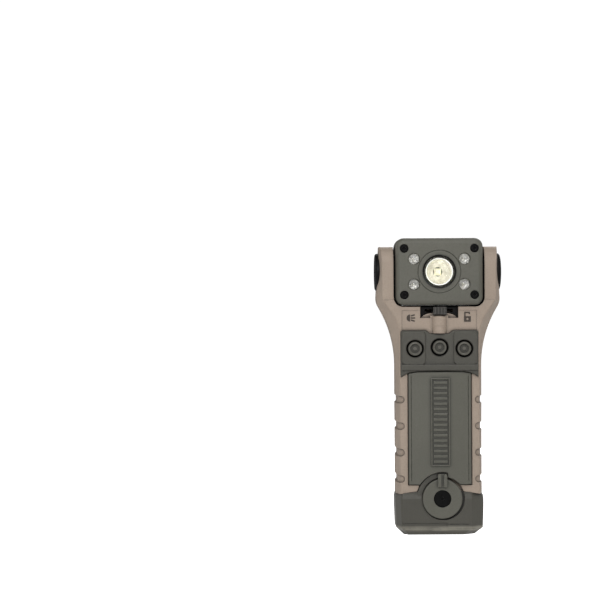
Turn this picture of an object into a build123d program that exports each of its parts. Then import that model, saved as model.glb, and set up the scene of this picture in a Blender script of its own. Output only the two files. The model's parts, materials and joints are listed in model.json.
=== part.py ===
"""Swivel-head tactical flashlight, standing on its tail, in millimetres.

+Z runs from the tail cap to the head, the lamp face looks along -Y, and the origin is the
middle of the flat base of the tail cap.
"""

import os

from build123d import *

os.makedirs("parts", exist_ok=True)

# Handle
GRIP_HALF = 20.6
SHOULDER_HALF = 29.75
ARM_TOP_HALF = 28.2
FACE_HALF = 18.95
BODY_Y = 12.6
EDGE_Y = 6.0
SEAM_Z = 16.7
SEAM_RISE_Z = 21.6
SPIGOT_Z = 14.0
NECK_Z = 94.5
CRADLE_Z = 108.8
ARM_TOP_Z = 137.6
ARM_INNER = 21.7
CRADLE_CORNER = 4.6
NOTCH_ZS = (26.8, 39.4, 52.0, 64.6)
LINER_HALF = 20.95
LINER_FLOOR_Z = 109.4

# Swivelling head
PIVOT_Z = 125.5
HEAD_W = 41.6
HEAD_H = 32.0
HEAD_CORNER = 4.0
HEAD_FRONT_Y = -14.6
BEZEL_BACK_Y = -9.0
SHELL_FRONT_Y = -8.4
SHELL_R = 16.0
HEAD_SCREW_X, HEAD_SCREW_Z = 16.7, 11.05
SIGNAL_X, SIGNAL_Z = 12.0, 6.05
RING_R = 7.95
LENS_R = 6.5
PIN_R = 4.0
CAP_R = 9.0
CAP_OUT_X = 30.15

# Button panel and front insert
PANEL_HALF = 18.45
PANEL_TOP_Z = 97.6
PANEL_DIP_Z = 96.0
PANEL_LOW_Z = 75.4
PANEL_ARCH_Z = 77.95
PANEL_FLOOR_Y = -9.6
BUTTON_R = 3.3
BUTTON_HOLE_R = 4.1
BUTTON_FACE_Y = -14.5
BUTTONS = ((-11.7, 88.9), (0.0, 89.5), (11.7, 88.9))
INSERT_HALF = 14.9
INSERT_LOW_Z = 24.2
INSERT_FLOOR_Y = -11.0

# Selector
WINDOW_HALF = 9.1
WINDOW_Z = 103.4
STEM_Z = 106.9

# Tail cap and latch
CAP_HALF = 21.05
CAP_Y = 13.2
LATCH_X, LATCH_Z = 1.0, 17.5
LATCH_R = 9.5
LATCH_WELL_R = 10.2
LATCH_WELL_X = LATCH_X + 0.45
ARCH_R = 12.5

# Two AA cells side by side
CELL_R = 7.25
CELL_L = 50.5
CELL_X = 7.45
CELL_Y = 0.5
CELL_BOTTOM_Z = 15.6
BORE_R = 7.6
CELL_TOP_Z = CELL_BOTTOM_Z + CELL_L

# Electronics
BOARD_FRONT_Y = -5.0
BOARD_BACK_Y = -3.6
BAY_HALF = 15.4
BAY_LOW_Z, BAY_TOP_Z = 71.0, 101.5
BOARD_SCREWS = ((-13.0, 74.2), (13.0, 74.2), (-13.0, 98.6), (13.0, 98.6))
COVER_SCREWS = ((-13.5, 68.8), (13.5, 68.8), (-13.5, 103.8), (13.5, 103.8))
CLIP_SCREWS = ((0.0, 57.5), (0.0, 63.5))


def facing(y):
    """Plane seen from the front at depth y: local x is X, local y is Z, outward is -Y."""
    return Plane(origin=(0, y, 0), x_dir=(1, 0, 0), z_dir=(0, -1, 0))


def across(x):
    """Plane across the pivot axis at x: local x is Y, local y is Z, normal is +X."""
    return Plane(origin=(x, 0, 0), x_dir=(0, 1, 0), z_dir=(1, 0, 0))


def save(piece, name):
    """Label the piece and write it to its own file."""
    piece.part.label = name
    export_step(piece.part, "parts/" + name + ".step")


# ---------------------------------------------------------------- handle housing
with BuildSketch(facing(EDGE_Y)) as widest:
    with BuildLine():
        Polyline(
            (0, SPIGOT_Z), (GRIP_HALF, SPIGOT_Z), (GRIP_HALF, NECK_Z),
            (SHOULDER_HALF, 111.0), (ARM_TOP_HALF, ARM_TOP_Z), (0, ARM_TOP_Z), (0, SPIGOT_Z),
        )
    make_face()
    fillet(widest.vertices().filter_by_position(Axis.Y, NECK_Z - 0.1, NECK_Z + 0.1), 55)
    fillet(widest.vertices().filter_by_position(Axis.X, 29.7, 29.8), 8)

with BuildSketch(facing(BODY_Y)) as flat_face:
    with BuildLine():
        Polyline(
            (0, SPIGOT_Z), (FACE_HALF, SPIGOT_Z), (FACE_HALF, 101.2), (26.9, 112.0),
            (27.2, ARM_TOP_Z), (0, ARM_TOP_Z), (0, SPIGOT_Z),
        )
    make_face()
    fillet(flat_face.vertices().filter_by_position(Axis.Y, 101.1, 101.3), 20)
    fillet(flat_face.vertices().filter_by_position(Axis.X, 26.8, 27.0), 8)

with BuildPart() as blank:
    extrude(widest.sketch, amount=2 * EDGE_Y)
    loft([widest.sketch, flat_face.sketch], ruled=True)
    mirror(about=Plane.XZ)
    mirror(about=Plane.YZ)

with BuildSketch(across(-40)) as arm_side:
    with Locations((0, 130)):
        Rectangle(60, 36)
    with Locations((0, ARM_TOP_Z - 20)):
        RectangleRounded(24.8, 40, 7.5, mode=Mode.SUBTRACT)

with BuildPart() as notches:
    # Shallow marks with round inner ends, front and back
    with BuildSketch(facing(20)):
        with Locations(*[(26.7 * side, z) for side in (-1, 1) for z in NOTCH_ZS]):
            SlotOverall(20, 3.6)
    extrude(amount=40)
    with BuildSketch(Plane.XY.offset(20)) as core:
        Polygon(
            (-20.2, -5.8), (-18.4, -11.9), (18.4, -11.9), (20.2, -5.8),
            (20.2, 5.8), (18.4, 11.9), (-18.4, 11.9), (-20.2, 5.8),
            align=None,
        )
        fillet(core.vertices(), 2)
    extrude(amount=50, mode=Mode.SUBTRACT)
    # Sloped notches right across the sides
    with BuildSketch(facing(20)):
        for z in NOTCH_ZS:
            for side in (-1, 1):
                Polygon(
                    (19.75 * side, z - 1.2), (21.25 * side, z - 2.4),
                    (21.25 * side, z + 2.4), (19.75 * side, z + 1.2),
                    align=None,
                )
    extrude(amount=40)

with BuildSketch(facing(PANEL_FLOOR_Y)) as panel_outline:
    with BuildLine():
        Polyline(
            (-PANEL_HALF, PANEL_LOW_Z), (-PANEL_HALF, PANEL_TOP_Z), (-6.4, PANEL_TOP_Z),
            (-4.4, PANEL_DIP_Z), (4.4, PANEL_DIP_Z), (6.4, PANEL_TOP_Z),
            (PANEL_HALF, PANEL_TOP_Z), (PANEL_HALF, PANEL_LOW_Z),
        )
        ThreePointArc((PANEL_HALF, PANEL_LOW_Z), (15.2, 77.15), (11, PANEL_ARCH_Z))
        Line((11, PANEL_ARCH_Z), (-11, PANEL_ARCH_Z))
        ThreePointArc((-11, PANEL_ARCH_Z), (-15.2, 77.15), (-PANEL_HALF, PANEL_LOW_Z))
    make_face()
    fillet(panel_outline.vertices().group_by(Axis.Y)[-1], 1.2)

with BuildSketch(facing(INSERT_FLOOR_Y)) as insert_outline:
    with BuildLine():
        Polyline(
            (INSERT_HALF, 77.05), (INSERT_HALF, INSERT_LOW_Z), (-INSERT_HALF, INSERT_LOW_Z),
            (-INSERT_HALF, 77.05), (-11, PANEL_ARCH_Z - 0.15), (11, PANEL_ARCH_Z - 0.15),
            (INSERT_HALF, 77.05),
        )
    make_face()

# The field that the latch turns in: its pointer only swings to the left
with BuildSketch(facing(-10.5)) as latch_field:
    with Locations((LATCH_X, LATCH_Z)):
        Circle(ARCH_R)
    with Locations((LATCH_X + 17.4, LATCH_Z)):
        Rectangle(30, 40, mode=Mode.SUBTRACT)
    with Locations((LATCH_WELL_X, LATCH_Z)):
        Circle(LATCH_WELL_R + 0.15)

with BuildSketch(Plane.XY.offset(SPIGOT_Z)) as spigot_outline:
    RectangleRounded(35.2, 19.2, 7)

with BuildSketch(facing(20)) as below_seam:
    with BuildLine():
        Polyline((-30, SEAM_Z), (-30, -5), (30, -5), (30, SEAM_Z))
        ThreePointArc((30, SEAM_Z), (0, SEAM_RISE_Z), (-30, SEAM_Z))
    make_face()

with BuildSketch(facing(-9.4)) as window_hill:
    with Locations((0, WINDOW_Z)):
        Ellipse(8.4, 2.65)
    with Locations((0, WINDOW_Z - 4)):
        Rectangle(20, 8, mode=Mode.SUBTRACT)

with BuildPart() as handle_housing:
    add(blank.part)
    creases = handle_housing.edges().filter_by(
        lambda e: abs(abs(e.center().Y) - BODY_Y) < 0.01 and SPIGOT_Z + 1 < e.center().Z < ARM_TOP_Z - 1
    )
    fillet(creases, 1.0)
    shoulders = handle_housing.edges().filter_by(
        lambda e: abs(abs(e.center().Y) - EDGE_Y) < 0.01 and SPIGOT_Z + 1 < e.center().Z < ARM_TOP_Z - 1
    )
    fillet(shoulders, 4.0)

    # Rounded ends of the arms, and the U that the head swings in
    extrude(arm_side.sketch, amount=80, mode=Mode.SUBTRACT)
    with BuildSketch(facing(20)):
        with Locations((0, CRADLE_Z + 25)):
            RectangleRounded(2 * ARM_INNER, 50, CRADLE_CORNER)
    extrude(amount=40, mode=Mode.SUBTRACT)

    # Spigot that the tail cap slides over
    with BuildSketch(Plane.XY.offset(SPIGOT_Z)):
        Rectangle(60, 60)
        add(spigot_outline.sketch, mode=Mode.SUBTRACT)
    skirt = extrude(amount=20, mode=Mode.PRIVATE) & extrude(below_seam.sketch, amount=40, mode=Mode.PRIVATE)
    add(skirt, mode=Mode.SUBTRACT)

    # Side grips
    add(notches.part, mode=Mode.SUBTRACT)

    # Shallow field round the selector signs
    with BuildSketch(facing(-12.4)):
        with Locations((0, 102)):
            Rectangle(35.8, 10.4)
    extrude(amount=4, mode=Mode.SUBTRACT)

    # Guard hump below the selector, with a dome at its foot
    with BuildSketch(Plane.XY.offset(PANEL_DIP_Z - 1.5)):
        with Locations((0, -10.4)):
            Circle(4.0)
    extrude(amount=WINDOW_Z + 1.1 - PANEL_DIP_Z + 1.5)
    hump_top = handle_housing.edges().filter_by(GeomType.CIRCLE).filter_by(
        lambda e: abs(e.center().Z - WINDOW_Z - 1.1) < 0.05 and e.center().Y < -11
    )
    fillet(hump_top, 1.2)
    with Locations((0, -11.8, 97.4)):
        Sphere(3.4)

    # Selector window, the slot for its stem, and the hill on the window's floor
    with BuildSketch(facing(-9.5)):
        with Locations((0, (WINDOW_Z + CRADLE_Z) / 2 + 1)):
            Rectangle(2 * WINDOW_HALF, CRADLE_Z - WINDOW_Z + 2)
        with Locations((0, WINDOW_Z + 0.2)):
            Rectangle(8.4, 1.8, mode=Mode.SUBTRACT)
    extrude(amount=8, mode=Mode.SUBTRACT)
    with BuildSketch(facing(-7)):
        with Locations((0, STEM_Z)):
            Rectangle(13.6, 1.6)
    extrude(amount=4, mode=Mode.SUBTRACT)
    extrude(window_hill.sketch, amount=1.3)

    # Recesses for the button panel, the front insert and the latch
    extrude(offset(panel_outline.sketch, 0.12, mode=Mode.PRIVATE), amount=8, mode=Mode.SUBTRACT)
    extrude(offset(insert_outline.sketch, 0.45, mode=Mode.PRIVATE), amount=8, mode=Mode.SUBTRACT)
    extrude(latch_field.sketch, amount=8, mode=Mode.SUBTRACT)
    with BuildSketch(facing(-7.9)):
        with Locations((LATCH_X, LATCH_Z - 4)):
            Rectangle(7.6, 16)
    extrude(amount=3, mode=Mode.SUBTRACT)

    # Bores for the two cells and the slots for their contact tabs
    with BuildSketch(Plane.XY.offset(SPIGOT_Z - 1)):
        with Locations((-CELL_X, CELL_Y), (CELL_X, CELL_Y)):
            Circle(BORE_R)
    extrude(amount=CELL_TOP_Z + 0.6 - SPIGOT_Z + 1, mode=Mode.SUBTRACT)
    with BuildSketch(Plane.XY.offset(CELL_TOP_Z)):
        with Locations((-CELL_X, -2), (CELL_X, -2)):
            Rectangle(3.4, 0.8)
    extrude(amount=6, mode=Mode.SUBTRACT)

    # Electronics bay, open at the back
    with BuildSketch(facing(-8)):
        with Locations((0, (BAY_LOW_Z + BAY_TOP_Z) / 2)):
            Rectangle(2 * BAY_HALF, BAY_TOP_Z - BAY_LOW_Z)
    extrude(amount=-30, mode=Mode.SUBTRACT)
    with BuildSketch(facing(-8)):
        with Locations((0, 103.6)):
            Rectangle(20, 8.6)
    extrude(amount=-5, mode=Mode.SUBTRACT)
    with BuildSketch(facing(-8)):
        with Locations(*BUTTONS):
            Circle(2.4)
    extrude(amount=3, mode=Mode.SUBTRACT)
    with BuildSketch(facing(BOARD_FRONT_Y)):
        with Locations(*BOARD_SCREWS):
            Circle(1.9)
            Circle(0.8, mode=Mode.SUBTRACT)
    extrude(amount=3)

    # Step for the rear cover, and the holes for its screws and the clip's
    with BuildSketch(facing(10.4)):
        with Locations((0, 86.3)):
            RectangleRounded(33.2, 39.8, 2.5)
    extrude(amount=-8, mode=Mode.SUBTRACT)
    with BuildSketch(facing(4)):
        with Locations(*COVER_SCREWS):
            Circle(0.9)
    extrude(amount=-20, mode=Mode.SUBTRACT)
    with BuildSketch(facing(9.4)):
        with Locations(*CLIP_SCREWS):
            Circle(1.2)
    extrude(amount=-20, mode=Mode.SUBTRACT)

    # Pivot bores and the recesses under the outer caps
    with BuildSketch(across(-40)):
        with Locations((0, PIVOT_Z)):
            Circle(5.5)
    extrude(amount=80, mode=Mode.SUBTRACT)
    for side in (-1, 1):
        with BuildSketch(across(26.6 * side)):
            with Locations((0, PIVOT_Z)):
                Circle(6.6)
        extrude(amount=10 * side, mode=Mode.SUBTRACT)
        with BuildSketch(across(27.4 * side)):
            with Locations((0, PIVOT_Z)):
                Circle(CAP_R + 0.05)
        extrude(amount=10 * side, mode=Mode.SUBTRACT)
save(handle_housing, "handle_housing")


# ---------------------------------------------------------------- front insert
with BuildPart() as front_insert:
    extrude(insert_outline.sketch, amount=6)
    with BuildSketch(Plane.XY.offset(INSERT_LOW_Z - 1)) as convex:
        with Locations((0, 127 - 14.0)):
            Circle(127)
    extrude(amount=60, mode=Mode.INTERSECT)
    extrude(latch_field.sketch, amount=10, mode=Mode.SUBTRACT)
    rim = front_insert.edges().filter_by(lambda e: e.center().Y < -12.8)
    fillet(rim, 0.4)
    # Fine line down each side
    with BuildSketch(facing(-13.05)):
        with Locations((-13.6, 51), (13.6, 51)):
            Rectangle(0.35, 50)
    extrude(amount=3, mode=Mode.SUBTRACT)

    # Raised frame with plain cross ribs
    with BuildSketch(facing(-13.6)):
        with Locations((0.2, 54.0)):
            Rectangle(8.9, 41.8)
            Rectangle(7.9, 40.8, mode=Mode.SUBTRACT)
            with GridLocations(0, 2.5, 1, 16):
                Rectangle(6.4, 1.1)
    extrude(amount=1.0)
save(front_insert, "front_insert")

# ---------------------------------------------------------------- button panel
with BuildPart() as button_panel:
    extrude(panel_outline.sketch, amount=13.6 + PANEL_FLOOR_Y - 0.05)
    rim = button_panel.edges().filter_by(lambda e: abs(e.center().Y + 13.55) < 0.01)
    fillet(rim, 0.5)
    with BuildSketch(facing(-13.2)):
        for side in (-1, 1):
            with Locations((12.3 * side, 89.2)):
                RectangleRounded(11.2, 15.8, 1.8)
    extrude(amount=0.85)
    field_rim = button_panel.edges().filter_by(lambda e: abs(e.center().Y + 14.05) < 0.01)
    fillet(field_rim, 0.4)
    with BuildSketch(facing(-13.0)):
        with Locations((0, 79.95)):
            Rectangle(36.6, 2.9)
    extrude(amount=1.35)
    band_rim = button_panel.edges().filter_by(lambda e: abs(e.center().Y + 14.35) < 0.01)
    fillet(band_rim, 0.5)
    with BuildSketch(facing(PANEL_FLOOR_Y)):
        with Locations((0, 88.6)):
            Rectangle(34.4, 13.6)
    extrude(amount=2.3, mode=Mode.SUBTRACT)
    with BuildSketch(facing(-8)):
        with Locations(*BUTTONS):
            Circle(BUTTON_HOLE_R)
    extrude(amount=8, mode=Mode.SUBTRACT)
    mouths = button_panel.edges().filter_by(GeomType.CIRCLE).filter_by(
        lambda e: e.center().Y < -13 and abs(e.radius - BUTTON_HOLE_R) < 0.01
    )
    chamfer(mouths, 0.35)
save(button_panel, "button_panel")

# ---------------------------------------------------------------- buttons
for (x, z), name in zip(BUTTONS, ("button_left", "button_centre", "button_right")):
    with BuildPart() as button:
        with BuildSketch(facing(-11.5)):
            with Locations((x, z)):
                Circle(BUTTON_R)
        extrude(amount=-BUTTON_FACE_Y - 11.5)
        fillet(button.edges().sort_by(Axis.Y)[0], 0.7)
        with BuildSketch(facing(BUTTON_FACE_Y + 1.5)):
            with Locations((x, z)):
                Circle(2.2)
        extrude(amount=2, mode=Mode.SUBTRACT)
        chamfer(button.edges().filter_by(GeomType.CIRCLE).filter_by(
            lambda e: abs(e.radius - 2.2) < 0.01 and e.center().Y < BUTTON_FACE_Y + 0.5), 0.35)
        with BuildSketch(facing(BUTTON_FACE_Y + 1.55)):
            with Locations((x, z)):
                Circle(0.8)
        extrude(amount=0.9)
        with BuildSketch(facing(-11.25)):
            with Locations((x, z)):
                Circle(4.6)
        extrude(amount=0.5)
        with BuildSketch(facing(-11.0)):
            with Locations((x, z)):
                Circle(1.4)
        extrude(amount=0.5)
    save(button, name)

# Soft collars that keep dust out of the gaps round the buttons
with BuildPart() as button_collars:
    with BuildSketch(facing(-12.0)):
        with Locations(*BUTTONS):
            Circle(BUTTON_HOLE_R - 0.02)
            Circle(BUTTON_R + 0.08, mode=Mode.SUBTRACT)
    extrude(amount=0.9)
save(button_collars, "button_collars")

# ---------------------------------------------------------------- keypad mat
with BuildPart() as keypad_mat:
    with BuildSketch(facing(PANEL_FLOOR_Y - 0.02)):
        with Locations((0, 88.6)):
            Rectangle(34.0, 13.2)
    extrude(amount=0.5)
    with BuildSketch(facing(PANEL_FLOOR_Y - 0.5)):
        with Locations(*BUTTONS):
            Circle(2.6)
    extrude(amount=0.2)
save(keypad_mat, "keypad_mat")

# ---------------------------------------------------------------- circuit board and parts
with BuildPart() as circuit_board:
    with BuildSketch(facing(BOARD_FRONT_Y)):
        with Locations((0, 86.3)):
            Rectangle(30.4, 29.8)
        with Locations(*BOARD_SCREWS):
            Circle(0.9, mode=Mode.SUBTRACT)
    extrude(amount=BOARD_FRONT_Y - BOARD_BACK_Y)
save(circuit_board, "circuit_board")

with BuildPart() as tact_switches:
    with BuildSketch(facing(BOARD_FRONT_Y)):
        with Locations(*BUTTONS):
            Rectangle(6, 6)
    extrude(amount=2.9)
    with BuildSketch(facing(-7.9)):
        with Locations(*BUTTONS):
            Circle(1.7)
    extrude(amount=1.6)
save(tact_switches, "tact_switches")

with BuildPart() as selector_switch:
    with BuildSketch(facing(BOARD_FRONT_Y)):
        with Locations((0, 98.2)):
            Rectangle(13, 3.6)
    extrude(amount=1.9)
    with BuildSketch(facing(-6.4)):
        with Locations((0, 98.2)):
            Rectangle(11.8, 1.6)
    extrude(amount=1, mode=Mode.SUBTRACT)
save(selector_switch, "selector_switch")

with BuildPart() as board_components:
    for x, z, w, h, t in ((-5, 90, 7, 7, 1.3), (6, 91, 5, 4, 1.1), (7, 83, 6, 6, 2.8), (-7, 80, 3, 5, 1.6)):
        with BuildSketch(facing(BOARD_BACK_Y)):
            with Locations((x, z)):
                Rectangle(w, h)
        extrude(amount=-t)
    with BuildSketch(facing(BOARD_BACK_Y)):
        with Locations((0.5, 76.5)):
            Circle(2.6)
    extrude(amount=-5.5)
save(board_components, "board_components")

with BuildPart() as board_screws:
    with BuildSketch(facing(BOARD_BACK_Y)):
        with Locations(*BOARD_SCREWS):
            Circle(1.5)
    extrude(amount=-0.9)
    with BuildSketch(facing(BOARD_BACK_Y)):
        with Locations(*BOARD_SCREWS):
            Circle(0.78)
    extrude(amount=3.6)
save(board_screws, "board_screws")

# ---------------------------------------------------------------- selector
with BuildPart() as selector_knob:
    with BuildSketch(facing(-10.8)):
        with Locations((0.3, 106.9)):
            RectangleRounded(6.3, 3.7, 0.5)
    extrude(amount=2.3)
    with BuildSketch(facing(-12.5)):
        with Locations((0.3, 106.9)):
            with GridLocations(1.45, 0, 4, 1):
                Rectangle(0.75, 3.2)
    extrude(amount=1.0)
    with BuildSketch(facing(-7.9)):
        with Locations((0, STEM_Z)):
            Rectangle(2.6, 1.4)
    extrude(amount=3)
save(selector_knob, "selector_knob")

with BuildPart() as selector_carriage:
    with BuildSketch(facing(-7.1)):
        with Locations((0, 102.3)):
            Rectangle(7, 10.6)
    extrude(amount=0.78)
    with BuildSketch(facing(-7.2)):
        with Locations((0, 98.2)):
            Rectangle(1.2, 1.2)
    extrude(amount=-0.7)
save(selector_carriage, "selector_carriage")

with BuildPart() as selector_liner:
    with BuildSketch(facing(-9.52)):
        with Locations((0, (WINDOW_Z + CRADLE_Z) / 2 + 0.05)):
            Rectangle(2 * WINDOW_HALF - 0.1, CRADLE_Z - WINDOW_Z - 0.1)
        with Locations((0, STEM_Z)):
            Rectangle(13.4, 1.6, mode=Mode.SUBTRACT)
        with Locations((0, WINDOW_Z)):
            Ellipse(8.46, 2.71, mode=Mode.SUBTRACT)
    extrude(amount=0.4)
save(selector_liner, "selector_liner")

with BuildPart() as selector_marks:
    # Beam sign on the left
    with BuildSketch(facing(-12.4)):
        with Locations((-13.9, 103.5)):
            Circle(1.65)
            with Locations((1.0, 0)):
                Rectangle(2.0, 3.4, mode=Mode.SUBTRACT)
        with Locations((-12.5, 103.5)):
            Rectangle(2.0, 0.6)
        with Locations((-12.6, 104.75)):
            Rectangle(1.9, 0.6, rotation=16)
        with Locations((-12.6, 102.25)):
            Rectangle(1.9, 0.6, rotation=-16)
    extrude(amount=0.08)
    # Open hasp sign on the right
    with BuildSketch(facing(-12.4)):
        with Locations((13.4, 102.9)):
            Rectangle(3.2, 2.6)
            Circle(0.55, mode=Mode.SUBTRACT)
        with BuildLine():
            Polyline((11.9, 104.2), (11.9, 106.3), (14.6, 106.3), (14.6, 105.2),
                     (14.0, 105.2), (14.0, 105.7), (12.5, 105.7), (12.5, 104.2), (11.9, 104.2))
        make_face()
    extrude(amount=0.08)
save(selector_marks, "selector_marks")

# ---------------------------------------------------------------- cells and upper contacts
for side, name in ((-1, "battery_left"), (1, "battery_right")):
    with BuildPart() as cell:
        with Locations((CELL_X * side, CELL_Y, CELL_BOTTOM_Z + CELL_L / 2 + 0.6 * side)):
            Cylinder(CELL_R, CELL_L - 1.2)
        fillet(cell.edges().filter_by(GeomType.CIRCLE), 0.6)
        with Locations((CELL_X * side, CELL_Y, CELL_BOTTOM_Z + CELL_L / 2)):
            Cylinder(2.7, CELL_L)
    save(cell, name)

with BuildPart() as upper_contacts:
    with BuildSketch(Plane.XY.offset(CELL_TOP_Z + 0.1)):
        with Locations((-CELL_X, 0), (CELL_X, 0)):
            Rectangle(9, 8)
    extrude(amount=0.45)
    with BuildSketch(Plane.XY.offset(CELL_TOP_Z + 0.1)):
        with Locations((-CELL_X, -2), (CELL_X, -2)):
            Rectangle(3.0, 0.5)
    extrude(amount=8.5)
save(upper_contacts, "upper_contacts")

# ---------------------------------------------------------------- rear cover, gasket and screws
with BuildPart() as rear_gasket:
    with BuildSketch(facing(10.42)):
        with Locations((0, 86.3)):
            RectangleRounded(32.8, 39.4, 2.3)
            Rectangle(2 * BAY_HALF - 0.6, 31, mode=Mode.SUBTRACT)
        with Locations(*COVER_SCREWS):
            Circle(1.0, mode=Mode.SUBTRACT)
    extrude(amount=-0.5)
save(rear_gasket, "rear_gasket")

with BuildPart() as rear_cover:
    with BuildSketch(facing(10.94)):
        with Locations((0, 86.3)):
            RectangleRounded(32.9, 39.5, 2.35)
    extrude(amount=-2.2)
    back_rim = rear_cover.edges().filter_by(lambda e: e.center().Y > 13.1)
    fillet(back_rim, 0.6)
    with BuildSketch(facing(12.7)):
        with Locations((0, 86.3)):
            with GridLocations(0, 3.2, 1, 7):
                RectangleRounded(22, 1.6, 0.6)
    extrude(amount=-1, mode=Mode.SUBTRACT)
    with BuildSketch(facing(10)):
        with Locations(*COVER_SCREWS):
            Circle(1.0)
    extrude(amount=-5, mode=Mode.SUBTRACT)
    with BuildSketch(facing(12.1)):
        with Locations(*COVER_SCREWS):
            Circle(1.95)
    extrude(amount=-5, mode=Mode.SUBTRACT)
save(rear_cover, "rear_cover")

with BuildPart() as rear_cover_screws:
    with BuildSketch(facing(12.12)):
        with Locations(*COVER_SCREWS):
            Circle(1.8)
    extrude(amount=-0.9)
    with BuildSketch(facing(12.12)):
        with Locations(*COVER_SCREWS):
            Circle(0.85)
    extrude(amount=8)
    with BuildSketch(facing(12.5)):
        with Locations(*COVER_SCREWS):
            RegularPolygon(0.85, 6)
    extrude(amount=-2, mode=Mode.SUBTRACT)
save(rear_cover_screws, "rear_cover_screws")

# ---------------------------------------------------------------- belt clip
with BuildPart() as belt_clip:
    with BuildSketch(across(-6)):
        with BuildLine():
            Polyline((13.1, 65.8), (13.1, 53.5), (17.0, 49), (17.0, 31), (15.4, 27), (17.6, 23.4))
        trace(line_width=1.0)
    extrude(amount=12)
    fillet(belt_clip.edges().filter_by(Axis.Y).sort_by(Axis.Z)[-2:], 2.5)
    with BuildSketch(facing(10)):
        with Locations(*CLIP_SCREWS):
            Circle(1.3)
    extrude(amount=-5, mode=Mode.SUBTRACT)
save(belt_clip, "belt_clip")

with BuildPart() as clip_screws:
    with BuildSketch(facing(13.62)):
        with Locations(*CLIP_SCREWS):
            Circle(2.2)
    extrude(amount=-1.2)
    fillet(clip_screws.edges().group_by(Axis.Y)[-1], 0.4)
    with BuildSketch(facing(13.62)):
        with Locations(*CLIP_SCREWS):
            Circle(1.15)
    extrude(amount=4.1)
    with BuildSketch(facing(14.2)):
        with Locations(*CLIP_SCREWS):
            RegularPolygon(1.0, 6)
    extrude(amount=-2, mode=Mode.SUBTRACT)
save(clip_screws, "clip_screws")

# ---------------------------------------------------------------- liner of the fork
with BuildPart() as cradle_liner:
    with BuildSketch(facing(11.6)):
        with Locations((0, CRADLE_Z + 25.01)):
            RectangleRounded(2 * ARM_INNER - 0.02, 50, CRADLE_CORNER)
        with Locations((0, LINER_FLOOR_Z + 25)):
            RectangleRounded(2 * LINER_HALF, 50, HEAD_CORNER + 0.1, mode=Mode.SUBTRACT)
        with Locations((0, 133 + 20)):
            Rectangle(60, 40, mode=Mode.SUBTRACT)
    extrude(amount=23.2)
    with BuildSketch(facing(-9.3)):
        with Locations((0, CRADLE_Z)):
            Rectangle(2 * WINDOW_HALF + 0.2, 6)
    extrude(amount=5, mode=Mode.SUBTRACT)
    with BuildSketch(across(-40)):
        with Locations((0, PIVOT_Z)):
            Circle(7.9)
    extrude(amount=80, mode=Mode.SUBTRACT)
save(cradle_liner, "cradle_liner")

# ---------------------------------------------------------------- pivot pieces
# These five sit in pairs, one at each arm.
for side, name in ((-1, "left"), (1, "right")):
    with BuildPart() as bushing:
        with BuildSketch(across(21.7 * side)):
            with Locations((0, PIVOT_Z)):
                Circle(5.48)
                Circle(PIN_R + 0.04, mode=Mode.SUBTRACT)
        extrude(amount=4.9 * side)
    save(bushing, "pivot_bushing_" + name)

    with BuildPart() as pin:
        with BuildSketch(across(19.1 * side)):
            with Locations((0, PIVOT_Z)):
                Circle(PIN_R)
                Circle(1.5, mode=Mode.SUBTRACT)
        extrude(amount=8.9 * side)
        with BuildSketch(across(19.1 * side)):
            with Locations((0, PIVOT_Z)):
                Circle(5.8)
                Circle(1.5, mode=Mode.SUBTRACT)
        extrude(amount=-1.5 * side)
    save(pin, "pivot_pin_" + name)

    with BuildPart() as cap:
        with BuildSketch(across(27.45 * side)):
            with Locations((0, PIVOT_Z)):
                Circle(CAP_R)
        extrude(amount=(CAP_OUT_X - 27.45) * side)
        outer_rim = cap.edges().filter_by(lambda e: abs(abs(e.center().X) - CAP_OUT_X) < 0.01)
        fillet(outer_rim, 1.1)
        with BuildSketch(across(27.45 * side)):
            with Locations((0, PIVOT_Z)):
                Circle(6.7)
        extrude(amount=1.4 * side, mode=Mode.SUBTRACT)
        with BuildSketch(across((CAP_OUT_X - 0.4) * side)):
            with Locations((0, PIVOT_Z)):
                Circle(5.6)
                Circle(5.0, mode=Mode.SUBTRACT)
                with PolarLocations(6.3, 2):
                    Circle(0.5)
        extrude(amount=2 * side, mode=Mode.SUBTRACT)
    save(cap, "pivot_cap_" + name)

with BuildPart() as friction_washers:
    for side in (-1, 1):
        with BuildSketch(across(21.1 * side)):
            with Locations((0, PIVOT_Z)):
                Circle(7.6)
                Circle(4.3, mode=Mode.SUBTRACT)
        extrude(amount=0.5 * side)
save(friction_washers, "friction_washers")

with BuildPart() as pivot_retainers:
    for side in (-1, 1):
        with BuildSketch(across(26.68 * side)):
            with Locations((0, PIVOT_Z)):
                RegularPolygon(6.2, 6)
                Circle(PIN_R, mode=Mode.SUBTRACT)
        extrude(amount=1.3 * side)
save(pivot_retainers, "pivot_retainers")

# ---------------------------------------------------------------- head bezel
SIGNALS = [(x * SIGNAL_X, PIVOT_Z + z * SIGNAL_Z) for x in (-1, 1) for z in (-1, 1)]
HEAD_SCREWS = [(x * HEAD_SCREW_X, PIVOT_Z + z * HEAD_SCREW_Z) for x in (-1, 1) for z in (-1, 1)]

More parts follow.
